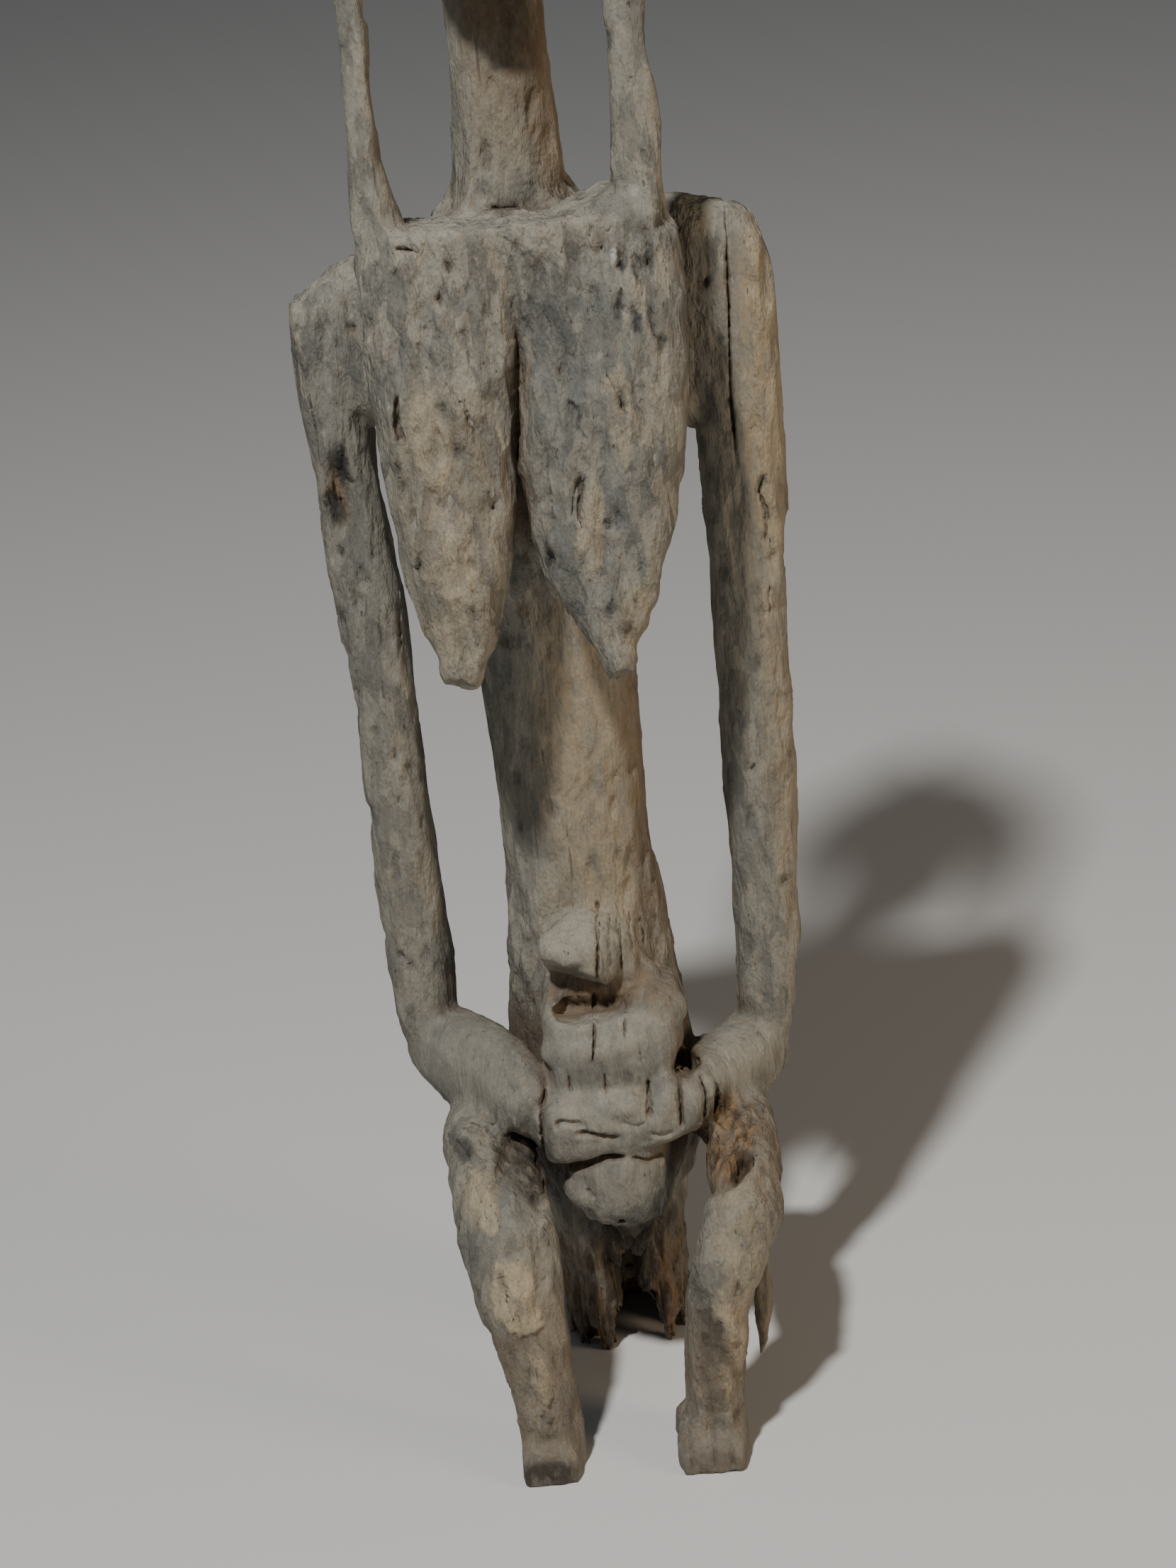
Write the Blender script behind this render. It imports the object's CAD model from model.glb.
import bmesh
import bpy
import math
import numpy as np
from mathutils import Euler, Matrix, Vector
from mathutils.bvhtree import BVHTree


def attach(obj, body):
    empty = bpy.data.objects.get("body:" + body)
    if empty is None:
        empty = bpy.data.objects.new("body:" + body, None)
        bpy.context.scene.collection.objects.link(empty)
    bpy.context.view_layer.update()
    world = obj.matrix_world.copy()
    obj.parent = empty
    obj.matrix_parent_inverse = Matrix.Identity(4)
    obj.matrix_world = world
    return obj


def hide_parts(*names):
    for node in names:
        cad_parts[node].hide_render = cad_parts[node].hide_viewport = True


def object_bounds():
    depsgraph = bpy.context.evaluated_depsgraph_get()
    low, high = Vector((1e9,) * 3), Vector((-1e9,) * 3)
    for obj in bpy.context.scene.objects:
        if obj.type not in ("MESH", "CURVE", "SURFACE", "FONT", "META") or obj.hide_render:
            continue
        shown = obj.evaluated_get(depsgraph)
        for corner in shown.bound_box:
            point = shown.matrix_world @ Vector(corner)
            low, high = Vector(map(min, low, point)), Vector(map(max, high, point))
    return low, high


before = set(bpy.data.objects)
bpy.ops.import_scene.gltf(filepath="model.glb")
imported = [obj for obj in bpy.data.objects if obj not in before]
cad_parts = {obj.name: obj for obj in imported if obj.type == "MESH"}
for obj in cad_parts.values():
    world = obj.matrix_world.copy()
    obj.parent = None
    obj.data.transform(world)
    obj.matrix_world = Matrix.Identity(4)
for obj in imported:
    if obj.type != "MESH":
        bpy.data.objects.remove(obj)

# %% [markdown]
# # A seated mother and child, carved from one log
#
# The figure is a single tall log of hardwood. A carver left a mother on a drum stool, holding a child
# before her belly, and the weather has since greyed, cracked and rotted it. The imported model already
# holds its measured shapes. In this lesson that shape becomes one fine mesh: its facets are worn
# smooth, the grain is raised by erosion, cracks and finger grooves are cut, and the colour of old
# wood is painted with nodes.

cad_box = [list(corner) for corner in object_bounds()]
print("packed model, metres:", cad_box)

# %% [markdown]
# ## Working round the log's own axis
#
# A carver measures from the pith of the log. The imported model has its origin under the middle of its
# box instead, so one helper turns millimetres from the pith, at the ground, into the model's metres.

# %% From the pith to the model's frame
pith = Vector((-0.0035, 0.0514, 0.0))


def from_pith(x, y, z):
    return pith + Vector((x, y, z)) / 1000


# %% [markdown]
# ## The camera
#
# The photograph looks down on the figure from a little above its head and from slightly to its left,
# with the camera rolled so that the figure leans to the left. A 75 mm lens two metres away gives the
# same perspective. The camera's axes are worked out as vectors, which is easier to reason about than
# three Euler angles when a roll is wanted.

# %% Camera at the photograph's angle
looks_at = from_pith(8, 0, 400)
camera_distance = 2.0
camera_height_angle = math.radians(25)
camera_side_angle = math.radians(3)
camera_roll = math.radians(-6)

backwards = Vector(
    (
        math.sin(camera_side_angle) * math.cos(camera_height_angle),
        -math.cos(camera_side_angle) * math.cos(camera_height_angle),
        math.sin(camera_height_angle),
    )
)
level_right = (-backwards).cross(Vector((0, 0, 1))).normalized()
level_up = level_right.cross(-backwards)
right = level_right * math.cos(camera_roll) + level_up * math.sin(camera_roll)
up = level_up * math.cos(camera_roll) - level_right * math.sin(camera_roll)

camera_data = bpy.data.cameras.new("camera")
camera_data.lens = 75
camera_data.sensor_width = 36
camera = bpy.data.objects.new("camera", camera_data)
camera.matrix_world = Matrix.Translation(looks_at + backwards * camera_distance) @ Matrix(
    (right, up, backwards)
).transposed().to_4x4()
bpy.context.scene.collection.objects.link(camera)
bpy.context.scene.camera = camera
print("camera at", [round(v, 3) for v in camera.matrix_world.translation])

# %% [markdown]
# ## Studio: floor and light
#
# A small soft lamp high on the left gives the photograph's shadows under the breasts and the chin, with
# edges that are clear but not hard. A weak warm one on the right colours the shaded sides, and a pale
# world keeps the shadows open. The floor is plain, so that nothing draws the eye from the wood.


# %% Floor
def plain_material(name, color, roughness):
    material = bpy.data.materials.new(name)
    material.use_nodes = True
    shader = material.node_tree.nodes["Principled BSDF"]
    shader.inputs["Base Color"].default_value = (*color, 1)
    shader.inputs["Roughness"].default_value = roughness
    return material


floor_mesh = bpy.data.meshes.new("floor")
floor_half = 6
floor_corners = [(-1, -1), (1, -1), (1, 1), (-1, 1)]
floor_mesh.from_pydata([(x * floor_half, y * floor_half, 0) for x, y in floor_corners], [], [(0, 1, 2, 3)])
floor = bpy.data.objects.new("floor", floor_mesh)
bpy.context.scene.collection.objects.link(floor)
floor_mesh.materials.append(plain_material("pale floor", (0.62, 0.62, 0.61), 0.9))
print("floor:", 2 * floor_half, "metres wide")


# %% Lamps and world
def soft_lamp(name, place, target, size, power, color):
    data = bpy.data.lights.new(name, "AREA")
    data.shape = "DISK"
    data.size = size
    data.energy = power
    data.color = color
    lamp = bpy.data.objects.new(name, data)
    lamp.location = place
    lamp.rotation_euler = (Vector(target) - Vector(place)).to_track_quat("-Z", "Y").to_euler()
    bpy.context.scene.collection.objects.link(lamp)


belly = (0, 0, 0.5)
soft_lamp("main lamp", (-0.55, -1.6, 3.3), belly, size=0.24, power=118, color=(1.0, 0.99, 0.97))
soft_lamp("warm side lamp", (1.9, -0.9, 0.9), belly, size=0.7, power=15, color=(1.0, 0.76, 0.5))

world = bpy.data.worlds.new("pale studio")
world.use_nodes = True
world.node_tree.nodes["Background"].inputs["Color"].default_value = (0.93, 0.95, 1.0, 1)
world.node_tree.nodes["Background"].inputs["Strength"].default_value = 0.09
bpy.context.scene.world = world
print("two lamps and a pale world")

# %% [markdown]
# ## From facets to one fine skin
#
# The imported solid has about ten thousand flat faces. Low swellings are laid into it first, where the
# child's worn body, the fingers, the tips of the breasts and the torn fibres of the thigh and the stool
# stand proud. A voxel remesh then lays an even net of small quads over everything and melts the
# swellings in, which gives smoothing, carving and noise something to push. Dividing the old faces
# would keep their long thin triangles, and the swellings would stay separate lumps.

# %% Swellings of the small carving
carved_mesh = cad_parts["figure"].data.copy()
carved_mesh.materials.clear()
carved = bpy.data.objects.new("carved_wood", carved_mesh)
bpy.context.scene.collection.objects.link(carved)

# middle from the pith, half sizes, both in millimetres, and a lean to the right in degrees
swellings = [
    # the child's body, broad at its shoulders, and its shoulder that merges with the trunk
    ((6, -65, 257), (42, 21, 19), -8),
    ((37, -54, 273), (21, 20, 15), 24),
    # the flat brown floor of the broken gap between head and body
    ((6, -41, 285), (38, 16, 15), -6),
    # the broken cheek and brow of the child
    ((1, -63, 305), (9, 10, 10), 20),
    ((-18, -56, 318), (12, 12, 12), 0),
    # the hand on the left, the knuckles between, the fingers on the right
    ((-20, -80, 212), (18, 18, 20), 0),
    ((12, -82, 223), (20, 15, 10), 4),
    ((10, -82, 200), (24, 14, 9), 4),
    ((40, -82, 222), (9, 13, 17), 4),
    ((56, -76, 222), (8, 13, 15), 14),
    ((65, -72, 218), (6, 12, 12), 24),
    # the child's seat in two low lumps
    ((-8, -76, 163), (22, 17, 17), -10),
    ((20, -74, 163), (20, 18, 19), 14),
    # fibres left standing in the rotted thigh
    ((72, -80, 172), (12, 34, 27), 4),
    ((66, -78, 176), (5, 24, 28), 6),
    ((80, -76, 186), (9, 26, 18), 0),
    ((83, -86, 180), (15, 13, 19), 10),
    # the blunt tips of the breasts
    ((-51, -104, 528), (12, 11, 16), 0),
    ((38, -105, 526), (10, 11, 16), 0),
    # fibres left standing at the stool's mouth and along its foot
    ((-17, -22, 40), (6, 8, 40), 5),
    ((-8, -25, 58), (5, 6, 26), -6),
    ((22, -21, 42), (6, 7, 38), -4),
    ((30, -14, 36), (6, 8, 34), 4),
    ((13, -26, 64), (5, 6, 22), 8),
    # the foot of the stool's back wall
    ((-26, 42, 10), (14, 9, 17), 0),
    ((-4, 44, 9), (12, 8, 15), 0),
    ((18, 42, 10), (13, 9, 17), 0),
    ((34, 34, 10), (9, 9, 14), 0),
]
clay = bmesh.new()
clay.from_mesh(carved_mesh)
bmesh.ops.remove_doubles(clay, verts=clay.verts, dist=0.00002)
for middle, half_sizes, lean in swellings:
    stands = Matrix.Translation(from_pith(*middle)) @ Euler((0, math.radians(lean), 0)).to_matrix().to_4x4()
    stands = stands @ Matrix.Diagonal((*[size / 1000 for size in half_sizes], 1))
    bmesh.ops.create_icosphere(clay, subdivisions=3, radius=1, matrix=stands)
clay.to_mesh(carved_mesh)
clay.free()
print(len(swellings), "swellings")


# %% Even net over all of it
def applied(obj):
    """Turns the object's live modifiers into its plain mesh."""
    bpy.context.view_layer.update()
    evaluated = obj.evaluated_get(bpy.context.evaluated_depsgraph_get())
    made = bpy.data.meshes.new_from_object(evaluated)
    obj.modifiers.clear()
    obj.data = made


remesh = carved.modifiers.new("even net", "REMESH")
remesh.mode = "VOXEL"
remesh.voxel_size = 0.002  # metres between the points
applied(carved)
print("net:", len(carved.data.vertices), "points")


# %% Reading and writing a mesh as arrays
def points_of(mesh):
    flat = np.empty(len(mesh.vertices) * 3, np.float32)
    mesh.vertices.foreach_get("co", flat)
    return flat.reshape(-1, 3).astype(float)


def normals_of(mesh):
    flat = np.empty(len(mesh.vertices) * 3, np.float32)
    mesh.vertex_normals.foreach_get("vector", flat)
    return flat.reshape(-1, 3).astype(float)


def edges_of(mesh):
    flat = np.empty(len(mesh.edges) * 2, np.int32)
    mesh.edges.foreach_get("vertices", flat)
    return flat.reshape(-1, 2)


def set_points(mesh, points):
    mesh.vertices.foreach_set("co", points.astype(np.float32).ravel())
    mesh.update()


def ramp(values, start, end):
    """0 at start, 1 at end, smooth between."""
    share = np.clip((values - start) / (end - start), 0, 1)
    return share * share * (3 - 2 * share)


def near(points, middle, reach):
    """1 inside an egg round middle, fading to 0 at its skin. Millimetres from the pith."""
    away = (points - np.array(from_pith(*middle))) / (np.array(reach) / 1000)
    return 1 - ramp(np.linalg.norm(away, axis=1), 0.6, 1.1)


# %% Where the carving is small
# child and hands, feet, stool, face, splinter, rotted thigh, split shoulder: middle and half sizes
points = points_of(carved.data)
small_work = [
    ((8, -70, 235), (72, 62, 125)),
    ((-50, -150, 8), (34, 34, 30)),
    ((50, -150, 8), (34, 34, 30)),
    ((-2, 12, 10), (66, 66, 90)),
    ((0, -90, 985), (60, 44, 90)),
    ((84, -98, 120), (22, 26, 95)),
    ((62, -95, 190), (34, 40, 42)),
    ((122, -14, 694), (9, 30, 66)),
]
fine = np.zeros(len(points))
for middle, reach in small_work:
    fine = np.maximum(fine, near(points, middle, reach))
spared = 0.72
softness = 1 - spared * fine
print("small work:", round(float(fine.mean()), 3), "of the net")


# %% Relaxing the net
shrink_step = 0.62
swell_step = -0.56


def relax(mesh, passes, weight):
    """Evens out facets. Every second pass swells the net again, so thin parts keep their size."""
    links = edges_of(mesh)
    spots = points_of(mesh)
    count = np.bincount(links.ravel(), minlength=len(spots)).astype(float)[:, None]
    for number in range(passes):
        pull = np.empty_like(spots)
        for axis in range(3):
            total = np.bincount(links[:, 0], spots[links[:, 1], axis], len(spots))
            total += np.bincount(links[:, 1], spots[links[:, 0], axis], len(spots))
            pull[:, axis] = total
        step = shrink_step if number % 2 == 0 else swell_step
        spots += step * weight[:, None] * (pull / count - spots)
    set_points(mesh, spots)


relax_passes = 110
relax(carved.data, relax_passes, softness)
print("relaxed in", relax_passes, "passes")

# %% [markdown]
# ## Grooves, cracks and pits
#
# Old logs split along the grain, from top to bottom, and the carver cut lines for fingers and toes.
# Insects and rain left short upright pits, most of them on the breasts. A net of two-millimetre quads
# can't hold a line that thin, so the faces along all paths are split first. Then the points near a
# path are pushed into the wood, deepest in its middle.

# %% Lines that are read off the front of the figure
# ranges of Y from the pith, in millimetres, that hold the front of a part and not what is behind it
chest = (-120, -60)
hands = (-120, -50)
arms = (-30, 10)
legs = (-190, -90)
toes = (-190, -140)

# path as (x, z) from the pith, half width, depth, range of Y, all in millimetres
lines = [
    # the split in the shoulder and arm on the right runs out as a hair crack
    ([(119, 758), (117, 700), (114, 650), (114, 600)], 0.7, 6, arms),
    # notches and short cracks on the outer edge of that arm
    ([(129, 592), (126, 584), (129, 570), (127, 548)], 0.8, 3.5, (-25, 10)),
    ([(128, 527), (126, 516), (127, 505)], 0.7, 2.5, (-25, 10)),
    ([(103, 715), (109, 711)], 1.4, 2.5, (-25, 10)),
    # cracks on the inner edge of the arm on the left
    ([(-93, 532), (-95, 516), (-95, 498)], 1.2, 4, (-25, 20)),
    # the valley between the breasts
    ([(4, 776), (1, 725), (-3, 690), (-6, 660), (-9, 630)], 5.0, 3.4, chest),
    ([(1, 722), (-3, 690), (-6, 660), (-9, 630)], 1.6, 5.0, chest),
    # wavy seams on the breast on the right
    ([(26, 680), (30, 672), (29, 664), (33, 655)], 1.0, 2.2, chest),
    ([(44, 700), (49, 688), (53, 676), (56, 668)], 1.0, 2.2, chest),
    ([(36, 648), (28, 632), (24, 618), (26, 604)], 1.2, 2.2, chest),
    ([(30, 642), (22, 626), (20, 612)], 0.9, 1.6, chest),
    # seams of the breast on the left
    ([(-68, 692), (-71, 680), (-71, 668)], 1.3, 2.5, chest),
    ([(-42, 698), (-36, 686), (-29, 668), (-24, 656)], 1.6, 3, chest),
    ([(-34, 690), (-30, 676), (-24, 664)], 0.9, 2, chest),
    # the crease under the chest's top edge and at the foot of the neck
    ([(-12, 771), (6, 770)], 2.2, 4, (-60, -10)),
    ([(-62, 769), (-48, 767)], 1.0, 2.5, chest),
    # splits in the child's head, the fibres beside it, and splits in its body
    ([(8, 340), (7, 322), (4, 296)], 0.9, 5, (-90, -35)),
    ([(15, 334), (14, 318), (13, 302)], 0.7, 2.5, (-90, -30)),
    ([(20, 330), (20, 312), (19, 298)], 0.7, 3, (-90, -25)),
    ([(26, 326), (27, 306)], 0.7, 2.5, (-90, -20)),
    ([(32, 322), (33, 304)], 0.7, 2, (-90, -15)),
    ([(1, 286), (0, 268), (-3, 250)], 0.8, 4.5, (-110, -50)),
    ([(20, 282), (18, 264)], 0.7, 3.5, (-110, -50)),
    ([(-18, 244), (-18, 230)], 0.8, 2.5, (-110, -50)),
    ([(4, 246), (4, 228)], 0.8, 2.5, (-110, -50)),
    ([(26, 264), (27, 248)], 0.7, 2, (-110, -50)),
    # finger grooves and the splits across the hands
    ([(-33, 236), (-37, 218), (-38, 186)], 1.5, 7, hands),
    ([(30, 238), (29, 214)], 1.0, 5, hands),
    ([(49, 240), (48, 204)], 1.3, 6, hands),
    ([(60, 238), (64, 224), (62, 208)], 1.1, 4.5, hands),
    ([(70, 230), (72, 218), (69, 206)], 1.0, 3.5, (-120, -40)),
    ([(-30, 213), (-25, 219), (-16, 217), (-9, 213)], 1.8, 3.4, hands),
    ([(-18, 211), (-9, 209), (2, 205), (12, 204)], 2.0, 5, hands),
    ([(10, 215), (21, 211), (27, 214)], 1.6, 2, hands),
    ([(26, 205), (36, 203), (44, 204)], 1.6, 2, hands),
    # the dark gap under the hands and the pits of the seat
    ([(-34, 179), (-24, 181), (-14, 184), (2, 190), (14, 189)], 2.2, 9, hands),
    ([(14, 189), (26, 184), (36, 184)], 1.4, 4, hands),
    ([(5, 144), (5, 139)], 2.2, 6, hands),
    ([(-14, 168), (-10, 160)], 1.2, 2, hands),
    # the shadowed line where the forearm on the left crosses the thigh
    ([(-90, 210), (-76, 206), (-65, 201), (-56, 195), (-49, 187)], 2.4, 6, (-130, -40)),
    ([(-66, 200), (-56, 194), (-48, 186), (-42, 176), (-38, 164)], 8.0, 24, (-130, -60)),
    # the slit and the flakes of the leg on the left
    ([(-93, 203), (-88, 199), (-82, 196)], 1.6, 4, hands),
    ([(-82, 192), (-76, 180), (-72, 168)], 0.9, 2.5, (-170, -70)),
    ([(-74, 190), (-70, 178)], 0.9, 2, (-170, -70)),
    ([(-66, 146), (-66, 128), (-63, 116)], 0.8, 1.8, legs),
    ([(-59, 142), (-58, 124)], 0.8, 1.5, legs),
    # toes of the foot on the right
    ([(36, 28), (37, 2)], 1.1, 2.2, toes),
    ([(51, 30), (51, 2)], 1.1, 2.2, toes),
    ([(62, 26), (62, 2)], 1.1, 2.2, toes),
]

# %% Dents
# x, z, half width, half height, depth, darkness, lean in degrees, range of Y
dents = [
    # long dark dents on the breast on the right
    (61, 754, 3.4, 9, 2.6, 1.0, 8, chest),
    (69, 748, 3.6, 10, 2.6, 1.0, -6, chest),
    (76, 752, 3.0, 11, 2.0, 0.7, 4, chest),
    (57, 730, 3.2, 10, 2.8, 1.0, 10, chest),
    (65, 722, 3.8, 11, 3.0, 1.0, -8, chest),
    (74, 718, 3.2, 12, 2.2, 0.75, -6, chest),
    (18, 718, 2.4, 7, 2.2, 0.7, 4, chest),
    (78, 706, 3.6, 6, 2.4, 0.75, 0, chest),
    (39, 608, 3.0, 5, 2.4, 0.6, 0, chest),
    (36, 558, 2.6, 9, 2.4, 0.7, 12, chest),
    (51, 561, 2.0, 5, 1.8, 0.5, 0, chest),
    (5, 588, 3.0, 9, 3.0, 0.9, 10, chest),
    # dents of the breast on the left
    (-74, 758, 3.0, 6, 2.0, 0.6, 0, chest),
    (-33, 758, 3.2, 6, 2.4, 0.6, -20, chest),
    (-38, 742, 4.0, 10, 1.4, 0.35, 0, chest),
    (-29, 718, 3.0, 9, 2.6, 0.6, 0, chest),
    (-70, 680, 1.8, 12, 2.0, 0.5, 8, chest),
    (-63, 671, 4.0, 4, 1.6, 0.4, 0, chest),
    (-44, 681, 4.0, 9, 1.8, 0.55, 0, chest),
    (-74, 648, 3.0, 5, 2.2, 0.7, 0, chest),
    (-39, 656, 3.2, 6, 1.8, 0.55, 0, chest),
    (-68, 592, 3.0, 6, 2.4, 0.5, 10, chest),
    (-37, 592, 3.0, 6, 2.2, 0.5, -10, chest),
    # the charred pocket and pits in the arm on the left
    (-114, 622, 3.6, 16, 4.0, 0.95, 6, arms),
    (-123, 596, 4.0, 12, 4.0, 1.0, -14, (-35, 12)),
    (-122, 568, 2.6, 7, 2.4, 0.6, 0, arms),
    (-117, 538, 2.6, 8, 1.8, 0.4, 0, arms),
    # notches in the arm on the right
    (128, 590, 3.0, 6, 2.4, 0.6, 20, arms),
    (105, 712, 4.0, 3, 1.8, 0.4, 0, arms),
    (110, 679, 4.0, 3, 1.6, 0.4, 10, arms),
]
# more of them, shallow, scattered with a fixed seed: range of X, of Z, of Y and how many
chance = np.random.default_rng(7)
worn_areas = [
    ((-82, -14), (540, 762), chest, 60),
    ((6, 84), (540, 750), chest, 70),
    ((30, 84), (748, 772), chest, 18),
    ((-132, -94), (250, 735), (-40, 12), 55),
    ((98, 134), (250, 740), (-40, 12), 50),
    ((-38, 46), (340, 520), (-60, -10), 36),
    ((-92, -42), (20, 200), (-180, -60), 34),
    ((40, 90), (20, 160), (-180, -100), 26),
    ((-78, -56), (780, 900), (-100, -50), 8),
    ((56, 82), (780, 900), (-100, -50), 10),
    ((-28, 28), (780, 890), (-60, -10), 12),
]
for x_range, z_range, y_range, count in worn_areas:
    for number in range(count):
        x = chance.uniform(*x_range)
        z = chance.uniform(*z_range)
        half_width = chance.uniform(1.6, 4.2)
        half_height = half_width * chance.uniform(1.4, 3.6)
        darkness = chance.uniform(0.0, 0.5) ** 1.5
        depth = chance.uniform(0.7, 2.0)
        lean = chance.uniform(-16, 16)
        dents.append((x, z, half_width, half_height, depth, darkness, lean, y_range))
print(len(lines), "lines,", len(dents), "dents")


# %% Tools for cutting lines
def front_of(points):
    """The points as (x, z) in millimetres from the pith, and their Y."""
    from_axis = (points - np.array(pith)) * 1000
    return from_axis[:, [0, 2]], from_axis[:, 1]


def distance_to_path(flat, path):
    """Distance to the path seen from the front, and how near the point is to one of its ends."""
    best = np.full(len(flat), 1e9)
    end_share = np.zeros(len(flat))
    knots = np.array(path, float)
    lengths = np.linalg.norm(np.diff(knots, axis=0), axis=1)
    before = 0.0
    for start, end, length in zip(knots[:-1], knots[1:], lengths):
        along = np.clip(((flat - start) @ (end - start)) / length**2, 0, 1)
        away = np.linalg.norm(flat - (start + along[:, None] * (end - start)), axis=1)
        closer = away < best
        best[closer] = away[closer]
        travelled = (before + along * length) / lengths.sum()
        end_share[closer] = np.minimum(travelled, 1 - travelled)[closer]
        before += length
    return best, end_share


def in_box_of(flat, depth, facing, path, reach, y_range):
    """The numbers of the points that face forward, lie in the range of Y and are near the path's box."""
    knots = np.array(path, float)
    low = knots.min(axis=0) - reach
    high = knots.max(axis=0) + reach
    inside = (flat > low).all(axis=1) & (flat < high).all(axis=1)
    return np.nonzero(inside & (depth > y_range[0]) & (depth < y_range[1]) & facing)[0]


def beside_lines(mesh):
    """Marks every point near a line, with a margin of one quad."""
    flat, depth = front_of(points_of(mesh))
    facing = normals_of(mesh)[:, 1] < 0.2
    marked = np.zeros(len(flat), bool)
    for path, half_width, _, y_range in lines:
        reach = half_width * 2 + 1.6
        some = in_box_of(flat, depth, facing, path, reach, y_range)
        away, _ = distance_to_path(flat[some], path)
        marked[some[away < reach]] = True
    return marked


def split_faces(mesh, marked, cuts):
    work = bmesh.new()
    work.from_mesh(mesh)
    chosen = [edge for edge in work.edges if marked[edge.verts[0].index] and marked[edge.verts[1].index]]
    bmesh.ops.subdivide_edges(work, edges=chosen, cuts=cuts, use_grid_fill=True)
    bmesh.ops.triangulate(work, faces=[face for face in work.faces if len(face.verts) > 4])
    work.to_mesh(mesh)
    work.free()


def cut_lines(mesh):
    spots = points_of(mesh)
    flat, depth = front_of(spots)
    facing = normals_of(mesh)[:, 1] < 0.2
    for path, half_width, deep, y_range in lines:
        some = in_box_of(flat, depth, facing, path, half_width * 2.4, y_range)
        away, ends = distance_to_path(flat[some], path)
        up = flat[some, 1]
        wander = 0.3 * min(half_width, 1.2) * np.sin(up * 0.9) * np.sin(up * 0.217 + 1)
        shape = np.exp(-(((away + wander) / half_width) ** 2)) * ramp(ends, -0.02, 0.2)
        spots[some, 1] += shape * deep / 1000
    set_points(mesh, spots)


# %% Pressing the dents
def share_of_dent(flat, x, z, half_width, half_height, lean):
    """1 in the middle of a dent, 0 outside it, with a torn edge."""
    turn = math.radians(lean)
    aside = (flat[:, 0] - x) * math.cos(turn) - (flat[:, 1] - z) * math.sin(turn)
    along = (flat[:, 0] - x) * math.sin(turn) + (flat[:, 1] - z) * math.cos(turn)
    away = np.hypot(aside / half_width, along / half_height)
    torn = 0.16 * np.sin(flat[:, 0] * 1.7 + z) * np.sin(flat[:, 1] * 0.9 + x)
    return 1 - ramp(away + torn, 0.35, 1.05)


def dented(mesh):
    """Yields the depth and darkness of each dent, the points in it and their shares."""
    flat, depth = front_of(points_of(mesh))
    facing = normals_of(mesh)[:, 1] < 0.1
    for x, z, half_width, half_height, deep, darkness, lean, y_range in dents:
        reach = max(half_width, half_height) * 1.1
        some = in_box_of(flat, depth, facing, [(x, z)], reach, y_range)
        yield deep, darkness, some, share_of_dent(flat[some], x, z, half_width, half_height, lean)


def press_dents(mesh):
    spots = points_of(mesh)
    outward = normals_of(mesh)
    for deep, _, some, share in dented(mesh):
        spots[some] -= outward[some] * (share * deep / 1000)[:, None]
    set_points(mesh, spots)


press_dents(carved.data)
print("pressed", len(dents), "dents")


# %% Flat ends, and the lines
def chop(mesh, middle, reach, along, left_over):
    """Cuts a flat end square to a direction, left_over millimetres past the middle."""
    spots = points_of(mesh)
    near_end = near(spots, middle, reach) > 0
    along = Vector(along).normalized()
    past = (spots - np.array(from_pith(*middle))) @ np.array(along) - left_over / 1000
    over = np.where(near_end, np.maximum(past, 0), 0)
    set_points(mesh, spots - over[:, None] * np.array(along))


# middle and half sizes of the egg that a cut reaches, its direction, and what stays past the middle:
# the blunt ends of the breasts, then the broken cheek of the child's head
chop(carved.data, (-51, -104, 528), (24, 24, 28), (-0.15, -0.6, -0.8), 9)
chop(carved.data, (38, -105, 526), (22, 24, 28), (0.25, -0.55, -0.8), 9)
chop(carved.data, (-12, -66, 306), (28, 28, 20), (-0.4, -0.6, -0.69), -2)
cuts_in_an_edge = 2
split_faces(carved.data, beside_lines(carved.data), cuts_in_an_edge)
cut_lines(carved.data)
print("cut:", len(carved.data.vertices), "points")

# %% [markdown]
# ## Worn layers
#
# The outermost skin of the wood has come off in flakes. What is left of it stands a millimetre or two
# proud, with torn edges: a plate on one knee, flame-shaped tongues on the other shin, scales on the
# breasts. Each is an outline seen from the front, and the points inside it are pushed out of the wood
# or into it. A separate sheet of wood would show a seam where it meets the round surface.


# %% Raising and sinking layers
def depth_inside(flat, outline):
    """Distance to the outline, above zero inside it."""
    knots = np.array(outline, float)
    best = np.full(len(flat), 1e9)
    inside = np.zeros(len(flat), bool)
    for start, end in zip(knots, np.roll(knots, -1, axis=0)):
        step = end - start
        along = np.clip(((flat - start) @ step) / (step @ step), 0, 1)
        best = np.minimum(best, np.linalg.norm(flat - (start + along[:, None] * step), axis=1))
        spans = (start[1] > flat[:, 1]) != (end[1] > flat[:, 1])
        rise = step[1] if abs(step[1]) > 1e-6 else 1e-6
        inside ^= spans & (flat[:, 0] < step[0] * (flat[:, 1] - start[1]) / rise + start[0])
    return np.where(inside, best, -best)


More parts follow.
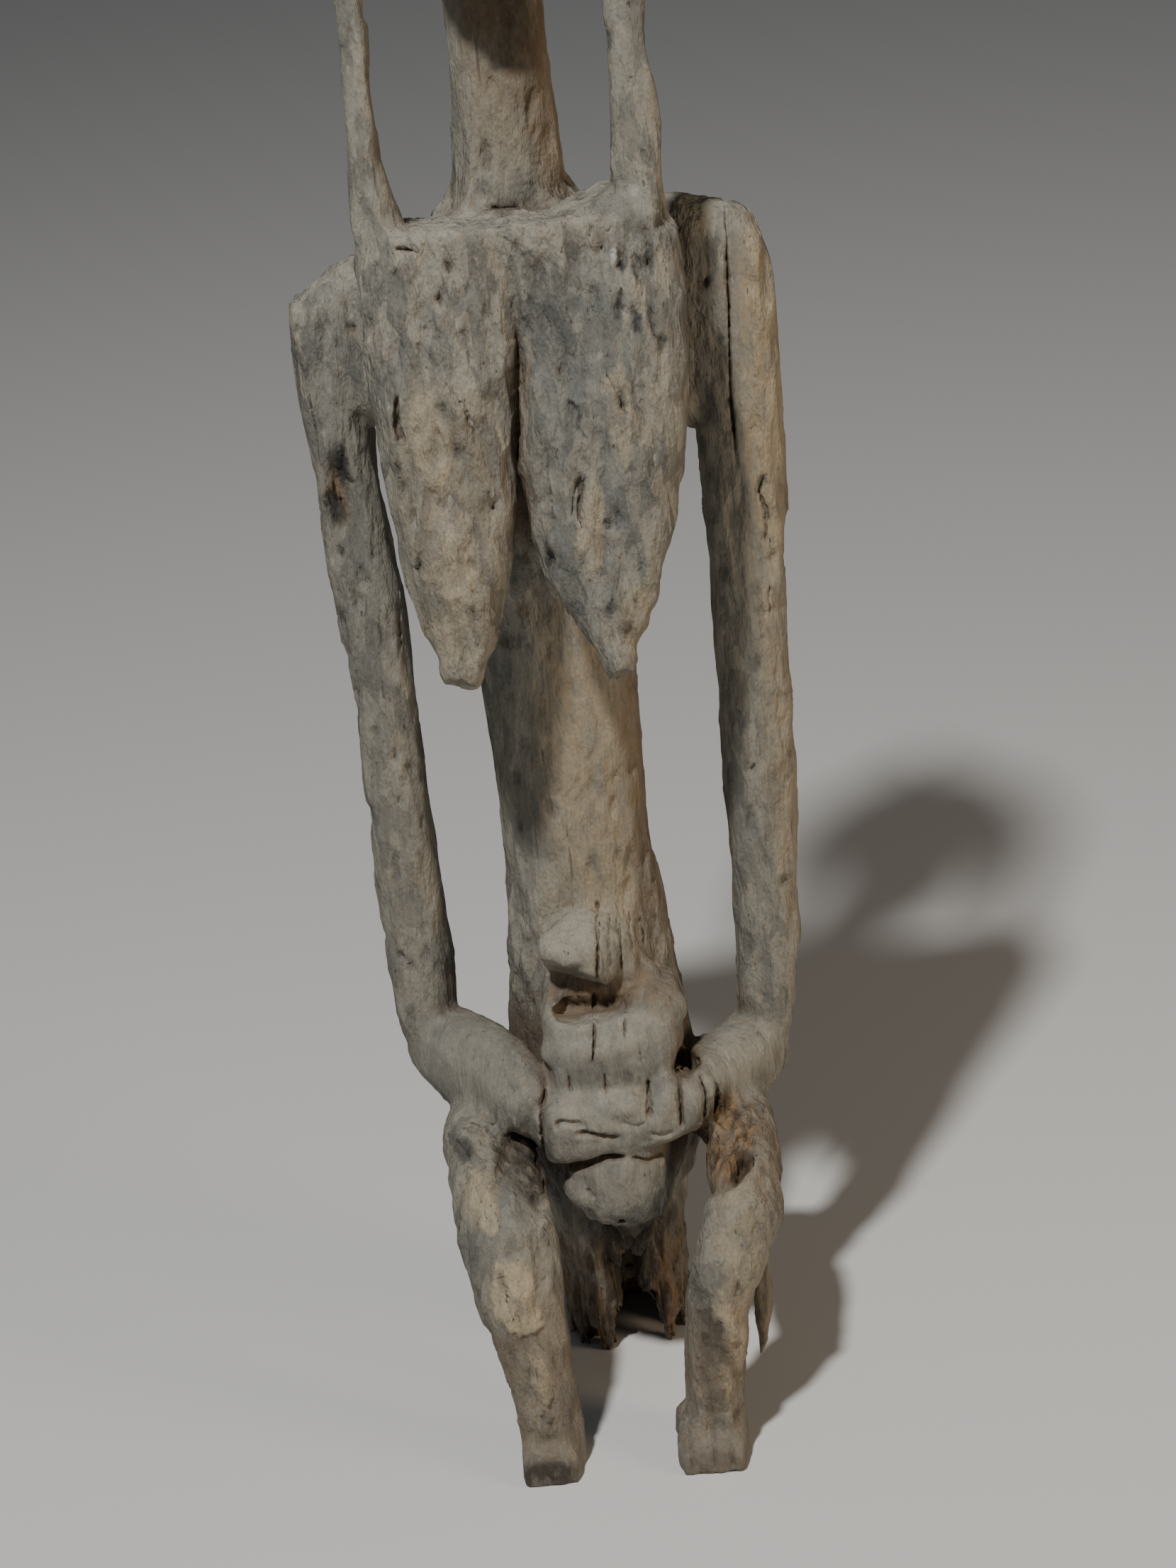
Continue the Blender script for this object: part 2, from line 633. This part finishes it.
# outline as (x, z) from the pith, height of the step, softness of its edge, range of Y
layers = [
    # the plate on the knee on the left and the flakes over and under it
    ([(-73, 153), (-56, 152), (-47, 136), (-46, 108), (-60, 103), (-76, 117)], 2.2, 1.2, legs),
    ([(-84, 196), (-72, 190), (-66, 172), (-74, 166), (-84, 180)], 1.2, 1.5, (-150, -70)),
    ([(-56, 90), (-48, 86), (-44, 62), (-50, 50), (-57, 70)], 1.0, 1.5, legs),
    # the outer layer of the shin on the right, gone from its inner half
    ([(46, 122), (60, 126), (62, 100), (60, 84), (66, 82), (72, 60), (66, 40), (46, 36)], -1.6, 1.4, legs),
    # the flame-shaped tongues of it that are left
    ([(57, 126), (66, 122), (71, 104), (69, 86), (66, 96), (63, 106), (60, 98), (58, 110)], 1.2, 0.9, legs),
    ([(70, 98), (76, 92), (75, 70), (71, 60), (69, 74), (71, 84)], 1.2, 0.9, legs),
    ([(58, 72), (64, 70), (66, 56), (63, 44), (60, 54)], 1.0, 0.9, legs),
    # scales on the breasts
    ([(-60, 690), (-48, 694), (-44, 660), (-50, 630), (-60, 640), (-66, 668)], 0.9, 2.0, chest),
    ([(-56, 610), (-42, 618), (-34, 590), (-44, 560), (-58, 575)], 0.9, 2.0, chest),
    ([(20, 600), (34, 640), (40, 618), (34, 585), (24, 575)], 0.9, 1.6, chest),
    ([(44, 690), (56, 700), (62, 660), (54, 640), (46, 650)], 0.8, 1.6, chest),
    # the smooth flat where the breast on the right begins
    ([(6, 764), (34, 753), (36, 735), (24, 690), (8, 700)], -1.2, 2.5, chest),
]


def layer_shares(mesh):
    """Yields each layer's points, their shares and the height of its step."""
    flat, depth = front_of(points_of(mesh))
    outward = normals_of(mesh)
    for outline, height, soft, y_range in layers:
        some = in_box_of(flat, depth, outward[:, 1] < -0.1, outline, 4, y_range)
        torn = 1.3 * np.sin(flat[some, 0] * 0.8 + flat[some, 1] * 0.31) * np.sin(flat[some, 1] * 0.57)
        share = ramp(depth_inside(flat[some], outline) + torn, -soft, soft)
        yield some, share, height


def shape_layers(mesh):
    spots = points_of(mesh)
    outward = normals_of(mesh)
    for some, share, height in layer_shares(mesh):
        spots[some] += outward[some] * (share * height / 1000)[:, None]
    set_points(mesh, spots)


shape_layers(carved.data)
print(len(layers), "layers shaped")

# %% [markdown]
# ## Raised grain
#
# Weather eats the soft wood between the fibres first. Geometry Nodes do this well, because the same
# rule runs over the whole skin: cells stretched along the log give the scales left by the adze and the
# rain, each with a height of its own, wide noise gives worn waves, finer noise gives fibres, and noise
# that is cut off low leaves lone pits. Painted maps say where the wood is rotten, finely carved, or
# broken across the grain.

# %% Maps for the relief
# middle and half sizes in millimetres from the pith, and strength
map_places = {
    # thigh, stool, the child's gap, the splinter, under the lap, beside the fingers, the arm's pocket
    "rot": [
        ((76, -84, 186), (24, 34, 40), 1.0),
        ((0, 6, 20), (66, 70, 112), 1.0),
        ((6, -52, 284), (40, 30, 13), 0.25),
        ((86, -96, 90), (18, 20, 60), 0.35),
        ((10, -40, 112), (30, 50, 34), 0.8),
        ((53, -64, 233), (10, 20, 15), 0.5),
        ((-120, -14, 604), (9, 14, 26), 0.9),
    ],
    # the small carving and the forearms in full, the belly, arms, neck, tresses and legs in part
    "small_work": [(middle, reach, 1.0) for middle, reach in small_work]
    + [
        ((-82, -34, 236), (54, 66, 40), 1.0),
        ((82, -36, 224), (48, 60, 30), 1.0),
        ((2, -10, 420), (62, 60, 150), 0.7),
        ((-112, 0, 420), (34, 40, 330), 0.5),
        ((114, 0, 420), (34, 40, 330), 0.5),
        ((0, 0, 850), (46, 60, 90), 0.7),
        ((-66, -70, 850), (22, 40, 110), 0.6),
        ((66, -70, 850), (22, 40, 110), 0.6),
        ((-60, -110, 100), (50, 80, 120), 0.4),
        ((62, -110, 100), (50, 80, 120), 0.4),
    ],
    # along the chest's broken top edge
    "granular": [
        ((66, -88, 778), (34, 26, 24), 1.0),
        ((60, -96, 756), (36, 20, 12), 0.8),
        ((-60, -92, 770), (20, 20, 10), 0.6),
        ((-6, -90, 768), (60, 24, 8), 0.4),
    ],
}


def write_map(mesh, name, values):
    """Puts one number on every point, under a name that trees and materials can read."""
    layer = mesh.attributes.get(name) or mesh.attributes.new(name, "FLOAT", "POINT")
    layer.data.foreach_set("value", values.astype(np.float32))


def paint_maps(mesh, names):
    """Writes maps that are 1 inside their eggs and fade to 0 at the skins."""
    spots = points_of(mesh)
    for name in names:
        values = np.zeros(len(spots))
        for middle, reach, strength in map_places[name]:
            values = np.maximum(values, near(spots, middle, reach) * strength)
        write_map(mesh, name, values)


paint_maps(carved.data, ("rot", "small_work", "granular"))
print("maps:", ", ".join(map_places))


# %% Helpers that add nodes
def add(tree, kind, settings=None, **links):
    """Adds a node, sets its properties, and fills its inputs with values or other nodes' sockets."""
    node = tree.nodes.new(kind)
    for key, value in (settings or {}).items():
        setattr(node, key, value)
    for key, value in links.items():
        socket = node.inputs[int(key[2:])] if key.startswith("in") else node.inputs[key]
        if isinstance(value, bpy.types.NodeSocket):
            tree.links.new(value, socket)
        else:
            socket.default_value = value
    return node


def maths(tree, operation, a, b=0.0):
    return add(tree, "ShaderNodeMath", {"operation": operation}, in0=a, in1=b).outputs[0]


def remap(tree, value, low, high, to_low=0.0, to_high=1.0):
    node = add(tree, "ShaderNodeMapRange", {"interpolation_type": "SMOOTHSTEP"}, in0=value)
    for index, number in zip((1, 2, 3, 4), (low, high, to_low, to_high)):
        node.inputs[index].default_value = number
    return node.outputs[0]


def stretched(tree, place, scale):
    return add(tree, "ShaderNodeVectorMath", {"operation": "MULTIPLY"}, in0=place, in1=scale).outputs[0]


def split_color(tree, color):
    return add(tree, "ShaderNodeSeparateXYZ", in0=color).outputs


def noise(tree, place, detail=3.0, roughness=0.55):
    node = add(tree, "ShaderNodeTexNoise", Vector=place)
    node.inputs["Scale"].default_value = 1
    node.inputs["Detail"].default_value = detail
    node.inputs["Roughness"].default_value = roughness
    return node.outputs[0]


# %% The wood's material, filled in further on
old_wood = bpy.data.materials.new("weathered wood")
old_wood.use_nodes = True
print("material:", old_wood.name)

# %% The erosion tree
erosion = bpy.data.node_groups.new("erosion", "GeometryNodeTree")
erosion.interface.new_socket(name="Geometry", in_out="INPUT", socket_type="NodeSocketGeometry")
relief = {
    "Scale depth": 0.0036,
    "Flake height": 0.0020,
    "Wave height": 0.0070,
    "Fibre height": 0.0009,
    "Pit depth": 0.0012,
    "Rot depth": 0.0050,
    "Grain depth": 0.0065,
}
for name in relief:
    erosion.interface.new_socket(name=name, in_out="INPUT", socket_type="NodeSocketFloat")
erosion.interface.new_socket(name="Geometry", in_out="OUTPUT", socket_type="NodeSocketGeometry")
given = erosion.nodes.new("NodeGroupInput")
place = erosion.nodes.new("GeometryNodeInputPosition").outputs[0]
outward = erosion.nodes.new("GeometryNodeInputNormal").outputs[0]


def painted(name):
    return add(erosion, "GeometryNodeInputNamedAttribute", {"data_type": "FLOAT"}, Name=name).outputs[0]


def swaying(tree, place):
    """Fibres don't run dead straight: the place is pushed sideways by a slow noise."""
    drift = noise(tree, stretched(tree, place, (14, 14, 6)), 2)
    aside = add(tree, "ShaderNodeCombineXYZ", in0=drift, in1=drift, in2=0.0).outputs[0]
    pushed = stretched(tree, aside, (0.018, 0.018, 0))
    return add(tree, "ShaderNodeVectorMath", {"operation": "ADD"}, in0=place, in1=pushed).outputs[0]


def grain(place, across, lengthwise, detail=3, roughness=0.55):
    """Noise stretched along the log."""
    return noise(erosion, stretched(erosion, place, (across, across, lengthwise)), detail, roughness)


def centred(value):
    return maths(erosion, "SUBTRACT", value, 0.5)


swayed = swaying(erosion, place)
calming = 0.62  # how much of the relief the small carving is spared
calm = maths(erosion, "SUBTRACT", 1.0, maths(erosion, "MULTIPLY", painted("small_work"), calming))
cells = add(
    erosion,
    "ShaderNodeTexVoronoi",
    {"feature": "SMOOTH_F1"},
    Vector=stretched(erosion, swayed, (92, 92, 32)),
    Scale=1.0,
    Smoothness=0.12,
)
terms = [
    # scales: hollow in the middle, ridged at their edges
    (maths(erosion, "SUBTRACT", cells.outputs["Distance"], 0.45), "Scale depth", calm),
    # flakes: each cell at a height of its own
    (centred(split_color(erosion, cells.outputs["Color"])[0]), "Flake height", calm),
    # worn waves, and fibres on top of them
    (centred(grain(swayed, 42, 15)), "Wave height", calm),
    (centred(grain(swayed, 230, 24, 3, 0.6)), "Fibre height", 1.0),
    # lone pits where the noise is high
    (remap(erosion, grain(swayed, 130, 42, 1.5, 0.5), 0.6, 0.74, 0, -1), "Pit depth", calm),
    # ruts between the fibres of rotten wood
    (remap(erosion, grain(swayed, 150, 17, 3, 0.65), 0.36, 0.64, 0, -1), "Rot depth", painted("rot")),
    # crumbs where the wood broke across
    (centred(grain(place, 210, 190, 3, 0.7)), "Grain depth", painted("granular")),
]
height = 0.0
for shape, depth_name, share in terms:
    term = maths(erosion, "MULTIPLY", maths(erosion, "MULTIPLY", shape, given.outputs[depth_name]), share)
    height = maths(erosion, "ADD", height, term)
offset = add(erosion, "ShaderNodeVectorMath", {"operation": "SCALE"}, in0=outward, Scale=height).outputs[0]
moved = add(erosion, "GeometryNodeSetPosition", Geometry=given.outputs["Geometry"], Offset=offset)
whole = add(erosion, "GeometryNodeRealizeInstances", Geometry=moved.outputs[0])
covered = add(erosion, "GeometryNodeSetMaterial", Geometry=whole.outputs[0], Material=old_wood)
result = erosion.nodes.new("NodeGroupOutput")
erosion.links.new(covered.outputs[0], result.inputs[0])
print("erosion tree:", len(erosion.nodes), "nodes")


# %% Running it over the skin
def run_tree(obj, tree, values):
    """Sets the tree's inputs by name, runs it on the object once and keeps the result as a mesh."""
    modifier = obj.modifiers.new(tree.name, "NODES")
    modifier.node_group = tree
    for item in tree.interface.items_tree:
        if item.item_type == "SOCKET" and item.in_out == "INPUT" and item.name in values:
            modifier[item.identifier] = values[item.name]
    applied(obj)


run_tree(carved, erosion, relief)
print("eroded:", len(carved.data.vertices), "points")

# %% Fewer triangles where the skin is flat
most_triangles = 188_000
before = sum(len(face.vertices) - 2 for face in carved.data.polygons)
thin = carved.modifiers.new("thin out", "DECIMATE")
thin.ratio = min(1, most_triangles / before)
applied(carved)
box_low, box_high = (np.array(corner) for corner in cad_box)
set_points(carved.data, np.clip(points_of(carved.data), box_low, box_high))
print("triangles:", before, "to", sum(len(face.vertices) - 2 for face in carved.data.polygons))

# %% [markdown]
# ## Sheltered and open wood
#
# Rain bleaches what it reaches and leaves the hollows brown. How open each point is can be measured:
# a few rays go out from it, and the share that meets other wood within a hand's breadth is painted on
# the mesh for the material to read. That follows every hollow, which no map drawn by hand would do.

# %% How sheltered each point is
spots = points_of(carved.data)
outward = normals_of(carved.data)
tree_of_faces = BVHTree.FromPolygons(
    [tuple(p) for p in spots], [tuple(face.vertices) for face in carved.data.polygons]
)
spread = []
ray_count = 9
golden_angle = 2.39996
for number in range(ray_count):
    lift = 1 - (number + 0.5) / ray_count
    turn = number * golden_angle
    ring = math.sqrt(1 - lift * lift)
    spread.append(Vector((ring * math.cos(turn), ring * math.sin(turn), lift)))
reach = 0.07  # a hand's breadth, in metres
clear_of_skin = 0.0012
sheltered = np.zeros(len(spots))
for index, (spot, away) in enumerate(zip(spots, outward)):
    facing = Vector(away)
    turn_to = facing.to_track_quat("Z", "Y")
    start = Vector(spot) + facing * clear_of_skin
    met = 0.0
    for ray in spread:
        hit = tree_of_faces.ray_cast(start, turn_to @ ray, reach)
        if hit[0] is not None:
            met += 1 - hit[3] / reach * 0.6
    sheltered[index] = met / ray_count
write_map(carved.data, "sheltered", sheltered)
print("sheltered, mean:", round(float(sheltered.mean()), 3))

# %% [markdown]
# ## Stains
#
# More maps hold what the weather did to single places: ochre where the outer wood is left, pale dust
# on what lies upward, dark char and rot, the blue-grey of the breast that stood in the rain, brown
# where little rain came, and three light flecks. Each place is a soft egg of a few numbers. That is
# coarse, but the material tears its edges with noise, so none of them shows as an egg.

# %% Maps for the colour
# as before: middle and half sizes in millimetres from the pith, and strength
map_places.update(
    {
        # the outer arm, the shins, the tips of the breasts, the belly
        "ochre": [
            ((134, -10, 640), (16, 40, 130), 1.0),
            ((128, -10, 420), (12, 40, 150), 0.6),
            ((78, -130, 140), (20, 40, 70), 0.6),
            ((73, -150, 90), (10, 20, 40), 1.0),
            ((-60, -148, 128), (16, 20, 30), 0.9),
            ((-78, -110, 180), (14, 30, 22), 0.7),
            ((-52, -154, 70), (8, 14, 24), 0.6),
            ((-62, -110, 546), (22, 20, 26), 0.5),
            ((56, -108, 548), (20, 20, 26), 0.6),
            ((16, -30, 420), (40, 30, 140), 0.8),
            ((-50, -105, 610), (36, 24, 110), 0.4),
            ((10, -10, 850), (36, 40, 90), 0.6),
            ((-60, -130, 90), (30, 50, 90), 0.35),
            ((60, -130, 60), (30, 50, 60), 0.35),
            ((6, -50, 330), (50, 40, 60), 0.3),
            ((86, -96, 80), (14, 14, 60), 0.7),
        ],
        # brows, shoulders, hands and lap, which catch the dust
        "pale": [
            ((-12, -56, 326), (26, 24, 16), 1.0),
            ((10, -78, 270), (44, 20, 16), 0.8),
            ((4, -90, 222), (50, 20, 18), 0.7),
            ((-24, -94, 210), (16, 14, 20), 0.6),
            ((6, -84, 163), (38, 24, 20), 0.9),
            ((-30, -60, 772), (50, 50, 8), 0.9),
            ((110, -6, 752), (30, 24, 16), 0.7),
            ((-112, -6, 730), (26, 24, 22), 0.4),
            ((84, -40, 226), (30, 40, 16), 0.7),
            ((-86, -30, 230), (34, 40, 20), 0.5),
        ],
        # the broken toe, the pocket in the arm, under the lap, behind the legs, the foot of the neck
        "dark": [
            ((-52, -166, 9), (24, 12, 13), 1.0),
            ((-116, -14, 622), (8, 12, 18), 0.9),
            ((-123, -12, 594), (8, 12, 14), 0.95),
            ((-15, -64, 300), (17, 16, 13), 0.6),
            ((6, -86, 243), (34, 12, 9), 0.45),
            ((-34, -92, 208), (4, 14, 26), 0.7),
            ((53, -60, 233), (12, 24, 18), 0.35),
            ((-88, -88, 200), (10, 20, 6), 0.8),
            ((57, -150, 90), (9, 16, 26), 0.5),
            ((56, -152, 40), (10, 16, 18), 0.4),
            ((0, 10, 20), (60, 60, 80), 0.2),
            ((10, -40, 108), (44, 60, 34), 0.85),
            ((6, -24, 66), (16, 30, 34), 0.8),
            ((-60, -88, 194), (16, 30, 10), 0.8),
            ((-46, -84, 182), (17, 40, 20), 1.0),
            ((-40, -36, 150), (20, 50, 54), 0.9),
            ((50, -30, 140), (14, 40, 34), 0.7),
            ((-19, -54, 282), (6, 14, 4), 0.8),
            ((0, -32, 771), (20, 12, 6), 0.6),
            ((18, -14, 900), (22, 46, 60), 0.45),
        ],
        # mostly the breast on the right
        "blue": [
            ((34, -96, 690), (36, 26, 80), 1.0),
            ((34, -104, 600), (32, 24, 60), 0.9),
            ((64, -90, 776), (26, 26, 26), 0.5),
            ((-50, -100, 690), (20, 20, 50), 0.4),
            ((-62, -124, 172), (16, 34, 20), 0.9),
            ((58, -146, 110), (12, 20, 30), 0.6),
            ((-110, -10, 690), (20, 20, 50), 0.4),
        ],
        # under the chin, in the gap of the child, on the right flank, the thigh and the feet
        "brown": [
            ((12, -14, 886), (34, 46, 80), 1.0),
            ((26, -16, 820), (18, 40, 60), 0.7),
            ((6, -50, 284), (42, 26, 13), 0.9),
            ((46, -20, 400), (20, 50, 130), 0.7),
            ((40, -56, 300), (18, 40, 40), 0.7),
            ((54, -60, 240), (14, 30, 24), 0.7),
            ((100, -90, 180), (14, 50, 50), 0.6),
            ((78, -86, 190), (26, 36, 36), 0.6),
            ((52, -50, 180), (18, 40, 40), 0.9),
            ((-54, -145, 56), (46, 60, 96), 0.5),
            ((56, -145, 50), (44, 60, 84), 0.5),
        ],
        "fleck": [
            ((-72, -78, 799), (2.5, 6, 8), 0.2),
            ((70, -80, 786), (4, 8, 2.5), 0.25),
            ((56, -96, 757), (3, 6, 4), 0.8),
        ],
    }
)
paint_maps(carved.data, map_places)
print("maps:", ", ".join(map_places))

# %% Maps that follow the dents and the layers
dark_spread = 1.8  # the dirt in a dent reaches nearer to its rim than its depth does
full_step = 1.6  # millimetres of a layer's step that show in full colour
dent_map = np.zeros(len(carved.data.vertices))
for _, darkness, some, share in dented(carved.data):
    dent_map[some] = np.maximum(dent_map[some], np.minimum(share * dark_spread, 1) * darkness)
write_map(carved.data, "dent", dent_map)
for name, sign in (("left_skin", 1), ("lost_skin", -1)):
    skin_map = np.zeros(len(carved.data.vertices))
    for some, share, height in layer_shares(carved.data):
        skin_map[some] = np.maximum(skin_map[some], share * np.clip(height * sign / full_step, 0, 1))
    write_map(carved.data, name, skin_map)
    print(name, "on", round(float((skin_map > 0).mean()), 4), "of the points")

# %% [markdown]
# ## Old wood
#
# The colour is laid on in the order in which it grew: a grey-beige ground with upright streaks, light
# flakes and blue-grey scales, then the stains of the maps, brown where the wood is sheltered or
# rotten, fine fibres over all of it and near-black in the pores. A picture would have to be unwrapped
# round the log and would show its seam. Noise that reads Object coordinates runs through the wood like
# real grain and stays on it in any view. The same fibres bump the surface.

# %% Helpers for colour
shade = old_wood.node_tree
shader = shade.nodes["Principled BSDF"]
spot = shade.nodes.new("ShaderNodeTexCoord").outputs["Object"]
along = swaying(shade, spot)


def tint(red, green, blue):
    return (red, green, blue, 1)


def mixed(share, first, second, way="MIX"):
    node = add(shade, "ShaderNodeMix", {"data_type": "RGBA", "blend_type": way})
    for socket, value in zip((node.inputs[0], node.inputs[6], node.inputs[7]), (share, first, second)):
        if isinstance(value, bpy.types.NodeSocket):
            shade.links.new(value, socket)
        else:
            socket.default_value = value
    return node.outputs[2]


def pattern(across, lengthwise, low, high, to_low=0.0, to_high=1.0, detail=3.0):
    """Noise stretched along the log, remapped to a share."""
    fibres = noise(shade, stretched(shade, along, (across, across, lengthwise)), detail, 0.6)
    return remap(shade, fibres, low, high, to_low, to_high)


def map_share(name, strength=1.0):
    value = add(shade, "ShaderNodeAttribute", {"attribute_name": name}).outputs["Fac"]
    return maths(shade, "MULTIPLY", value, strength)


# %% Colours of weathered wood
beige = tint(0.182, 0.172, 0.143)
light_beige = tint(0.208, 0.197, 0.165)
grey = tint(0.140, 0.140, 0.128)
bleached = tint(0.268, 0.250, 0.204)
slate = tint(0.115, 0.112, 0.098)
straw = tint(0.290, 0.254, 0.192)
soot = tint(0.098, 0.094, 0.082)
light_flake = tint(0.272, 0.252, 0.205)
dark_flake = tint(0.118, 0.116, 0.102)
wet_rot = tint(0.050, 0.030, 0.016)
dry_rot = tint(0.228, 0.148, 0.078)
unwashed = tint(0.120, 0.084, 0.052)
pore_black = tint(0.028, 0.024, 0.020)
seam_black = tint(0.040, 0.034, 0.028)
# maps in the order in which they are laid on, with their strength and colour
stains = (
    ("blue", 0.6, tint(0.128, 0.136, 0.128)),
    ("lost_skin", 0.9, tint(0.085, 0.084, 0.075)),
    ("ochre", 0.8, tint(0.320, 0.262, 0.174)),
    ("brown", 0.8, tint(0.150, 0.105, 0.064)),
    ("left_skin", 1.0, tint(0.370, 0.315, 0.220)),
    ("pale", 0.72, tint(0.300, 0.284, 0.236)),
    ("rot", 0.85, None),
    ("dent", 1.0, tint(0.048, 0.050, 0.050)),
    ("dark", 0.85, tint(0.040, 0.036, 0.031)),
    ("fleck", 0.9, tint(0.62, 0.62, 0.60)),
)
print(len(stains), "stains")

# %% Ground of the wood
torn = pattern(120, 60, 0.36, 0.56, 0.4, 1.0)
wood = mixed(pattern(150, 16, 0.38, 0.62), beige, light_beige)
wood = mixed(pattern(22, 9, 0.45, 0.62, 0.0, 0.5), wood, grey)
plain = wood
# streaks: how fine across and along the log, where the noise starts and ends to show, strength, colour
streaks = (
    (44, 15, 0.49, 0.54, 0.65, bleached),
    (62, 20, 0.52, 0.57, 0.65, slate),
    (105, 34, 0.55, 0.60, 0.5, straw),
    (125, 40, 0.56, 0.61, 0.5, soot),
)
for across, lengthwise, low, high, strength, color in streaks:
    wood = mixed(pattern(across, lengthwise, low, high, 0.0, strength), wood, color)
print(len(streaks), "kinds of streaks")

# %% Flakes, each in a shade and at a height of its own
fray = maths(shade, "SUBTRACT", noise(shade, stretched(shade, along, (260, 260, 110)), 2), 0.5)
fray_everywhere = add(shade, "ShaderNodeCombineXYZ", in0=fray, in1=fray, in2=fray).outputs[0]
fray_reach = (0.006, 0.006, 0.014)
pushed = stretched(shade, fray_everywhere, fray_reach)
frayed = add(shade, "ShaderNodeVectorMath", {"operation": "ADD"}, in0=along, in1=pushed).outputs[0]
flakes = add(shade, "ShaderNodeTexVoronoi", Vector=stretched(shade, frayed, (112, 112, 38)), Scale=1.0)
flake_height, flake_tone = split_color(shade, flakes.outputs["Color"])[:2]
wood = mixed(remap(shade, flake_tone, 0.55, 0.7, 0.0, 0.55), wood, light_flake)
wood = mixed(remap(shade, flake_tone, 0.45, 0.3, 0.0, 0.5), wood, dark_flake)
wood = mixed(map_share("small_work", 0.6), wood, plain)

# %% Stains, fibres, pores and seams
rotten = mixed(pattern(160, 16, 0.4, 0.62), wet_rot, dry_rot)
sheltered_share = remap(shade, map_share("sheltered"), 0.2, 0.6, 0.0, 0.7)
for name, strength, color in stains:
    # the brown of sheltered wood lies under the rot and over the stains before it
    if name == "rot":
        wood = mixed(sheltered_share, wood, unwashed)
    wood = mixed(maths(shade, "MULTIPLY", map_share(name, strength), torn), wood, color or rotten)
fine_grain = pattern(620, 420, 0.3, 0.7, 0.93, 1.07, 4.0)
fibre = maths(shade, "MULTIPLY", pattern(700, 50, 0.25, 0.75, 0.92, 1.08), fine_grain)
fibre_grey = add(shade, "ShaderNodeCombineColor", in0=fibre, in1=fibre, in2=fibre).outputs[0]
wood = mixed(1.0, wood, fibre_grey, "MULTIPLY")
pore_groups = pattern(70, 25, 0.45, 0.66, 0.0, 0.8)
pores = maths(shade, "MULTIPLY", pattern(380, 110, 0.66, 0.78, detail=2.0), pore_groups)
wood = mixed(pores, wood, pore_black)
seams = maths(shade, "MULTIPLY", pattern(220, 12, 0.68, 0.76, detail=2.0), 0.55)
wood = mixed(seams, wood, seam_black)
shade.links.new(wood, shader.inputs["Base Color"])
shader.inputs["Roughness"].default_value = 0.9
shader.inputs["Specular IOR Level"].default_value = 0.2

# %% Fibres that catch the light
raised = pattern(620, 420, 0.0, 1.0, 0.0, 0.4, 4.0)
for rise in (
    pattern(260, 60, 0.0, 1.0, 0.0, 0.9),
    maths(shade, "MULTIPLY", flake_height, 0.55),
    pattern(74, 28, 0.46, 0.6, 0.5, 0.0),
    pattern(120, 44, 0.4, 0.62, 0.0, 0.7),
):
    raised = maths(shade, "ADD", raised, rise)
sunk = maths(shade, "ADD", maths(shade, "MULTIPLY", pores, 0.8), seams)
raised = maths(shade, "SUBTRACT", raised, sunk)
# the small carving is worn smoother than the rest
worn_smooth = maths(shade, "SUBTRACT", 1.0, map_share("small_work", 0.55))
raised = maths(shade, "MULTIPLY", raised, worn_smooth)
bump = add(shade, "ShaderNodeBump", Height=raised)
bump.inputs["Strength"].default_value = 0.85
bump.inputs["Distance"].default_value = 0.0016
shade.links.new(bump.outputs["Normal"], shader.inputs["Normal"])
print("material:", len(shade.nodes), "nodes")

# %% The material on the carving
carved.data.shade_smooth()
carved.data.materials.clear()
carved.data.materials.append(old_wood)
print("carving:", [material.name for material in carved.data.materials])

# %% [markdown]
# ## Handing the piece to the frame
#
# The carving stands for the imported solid, rides on the only body there is, and takes its finish from
# the weathered wood of the record. The box before and after dressing is kept, to compare them.

# %% Frame
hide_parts("figure")
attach(carved, "root")
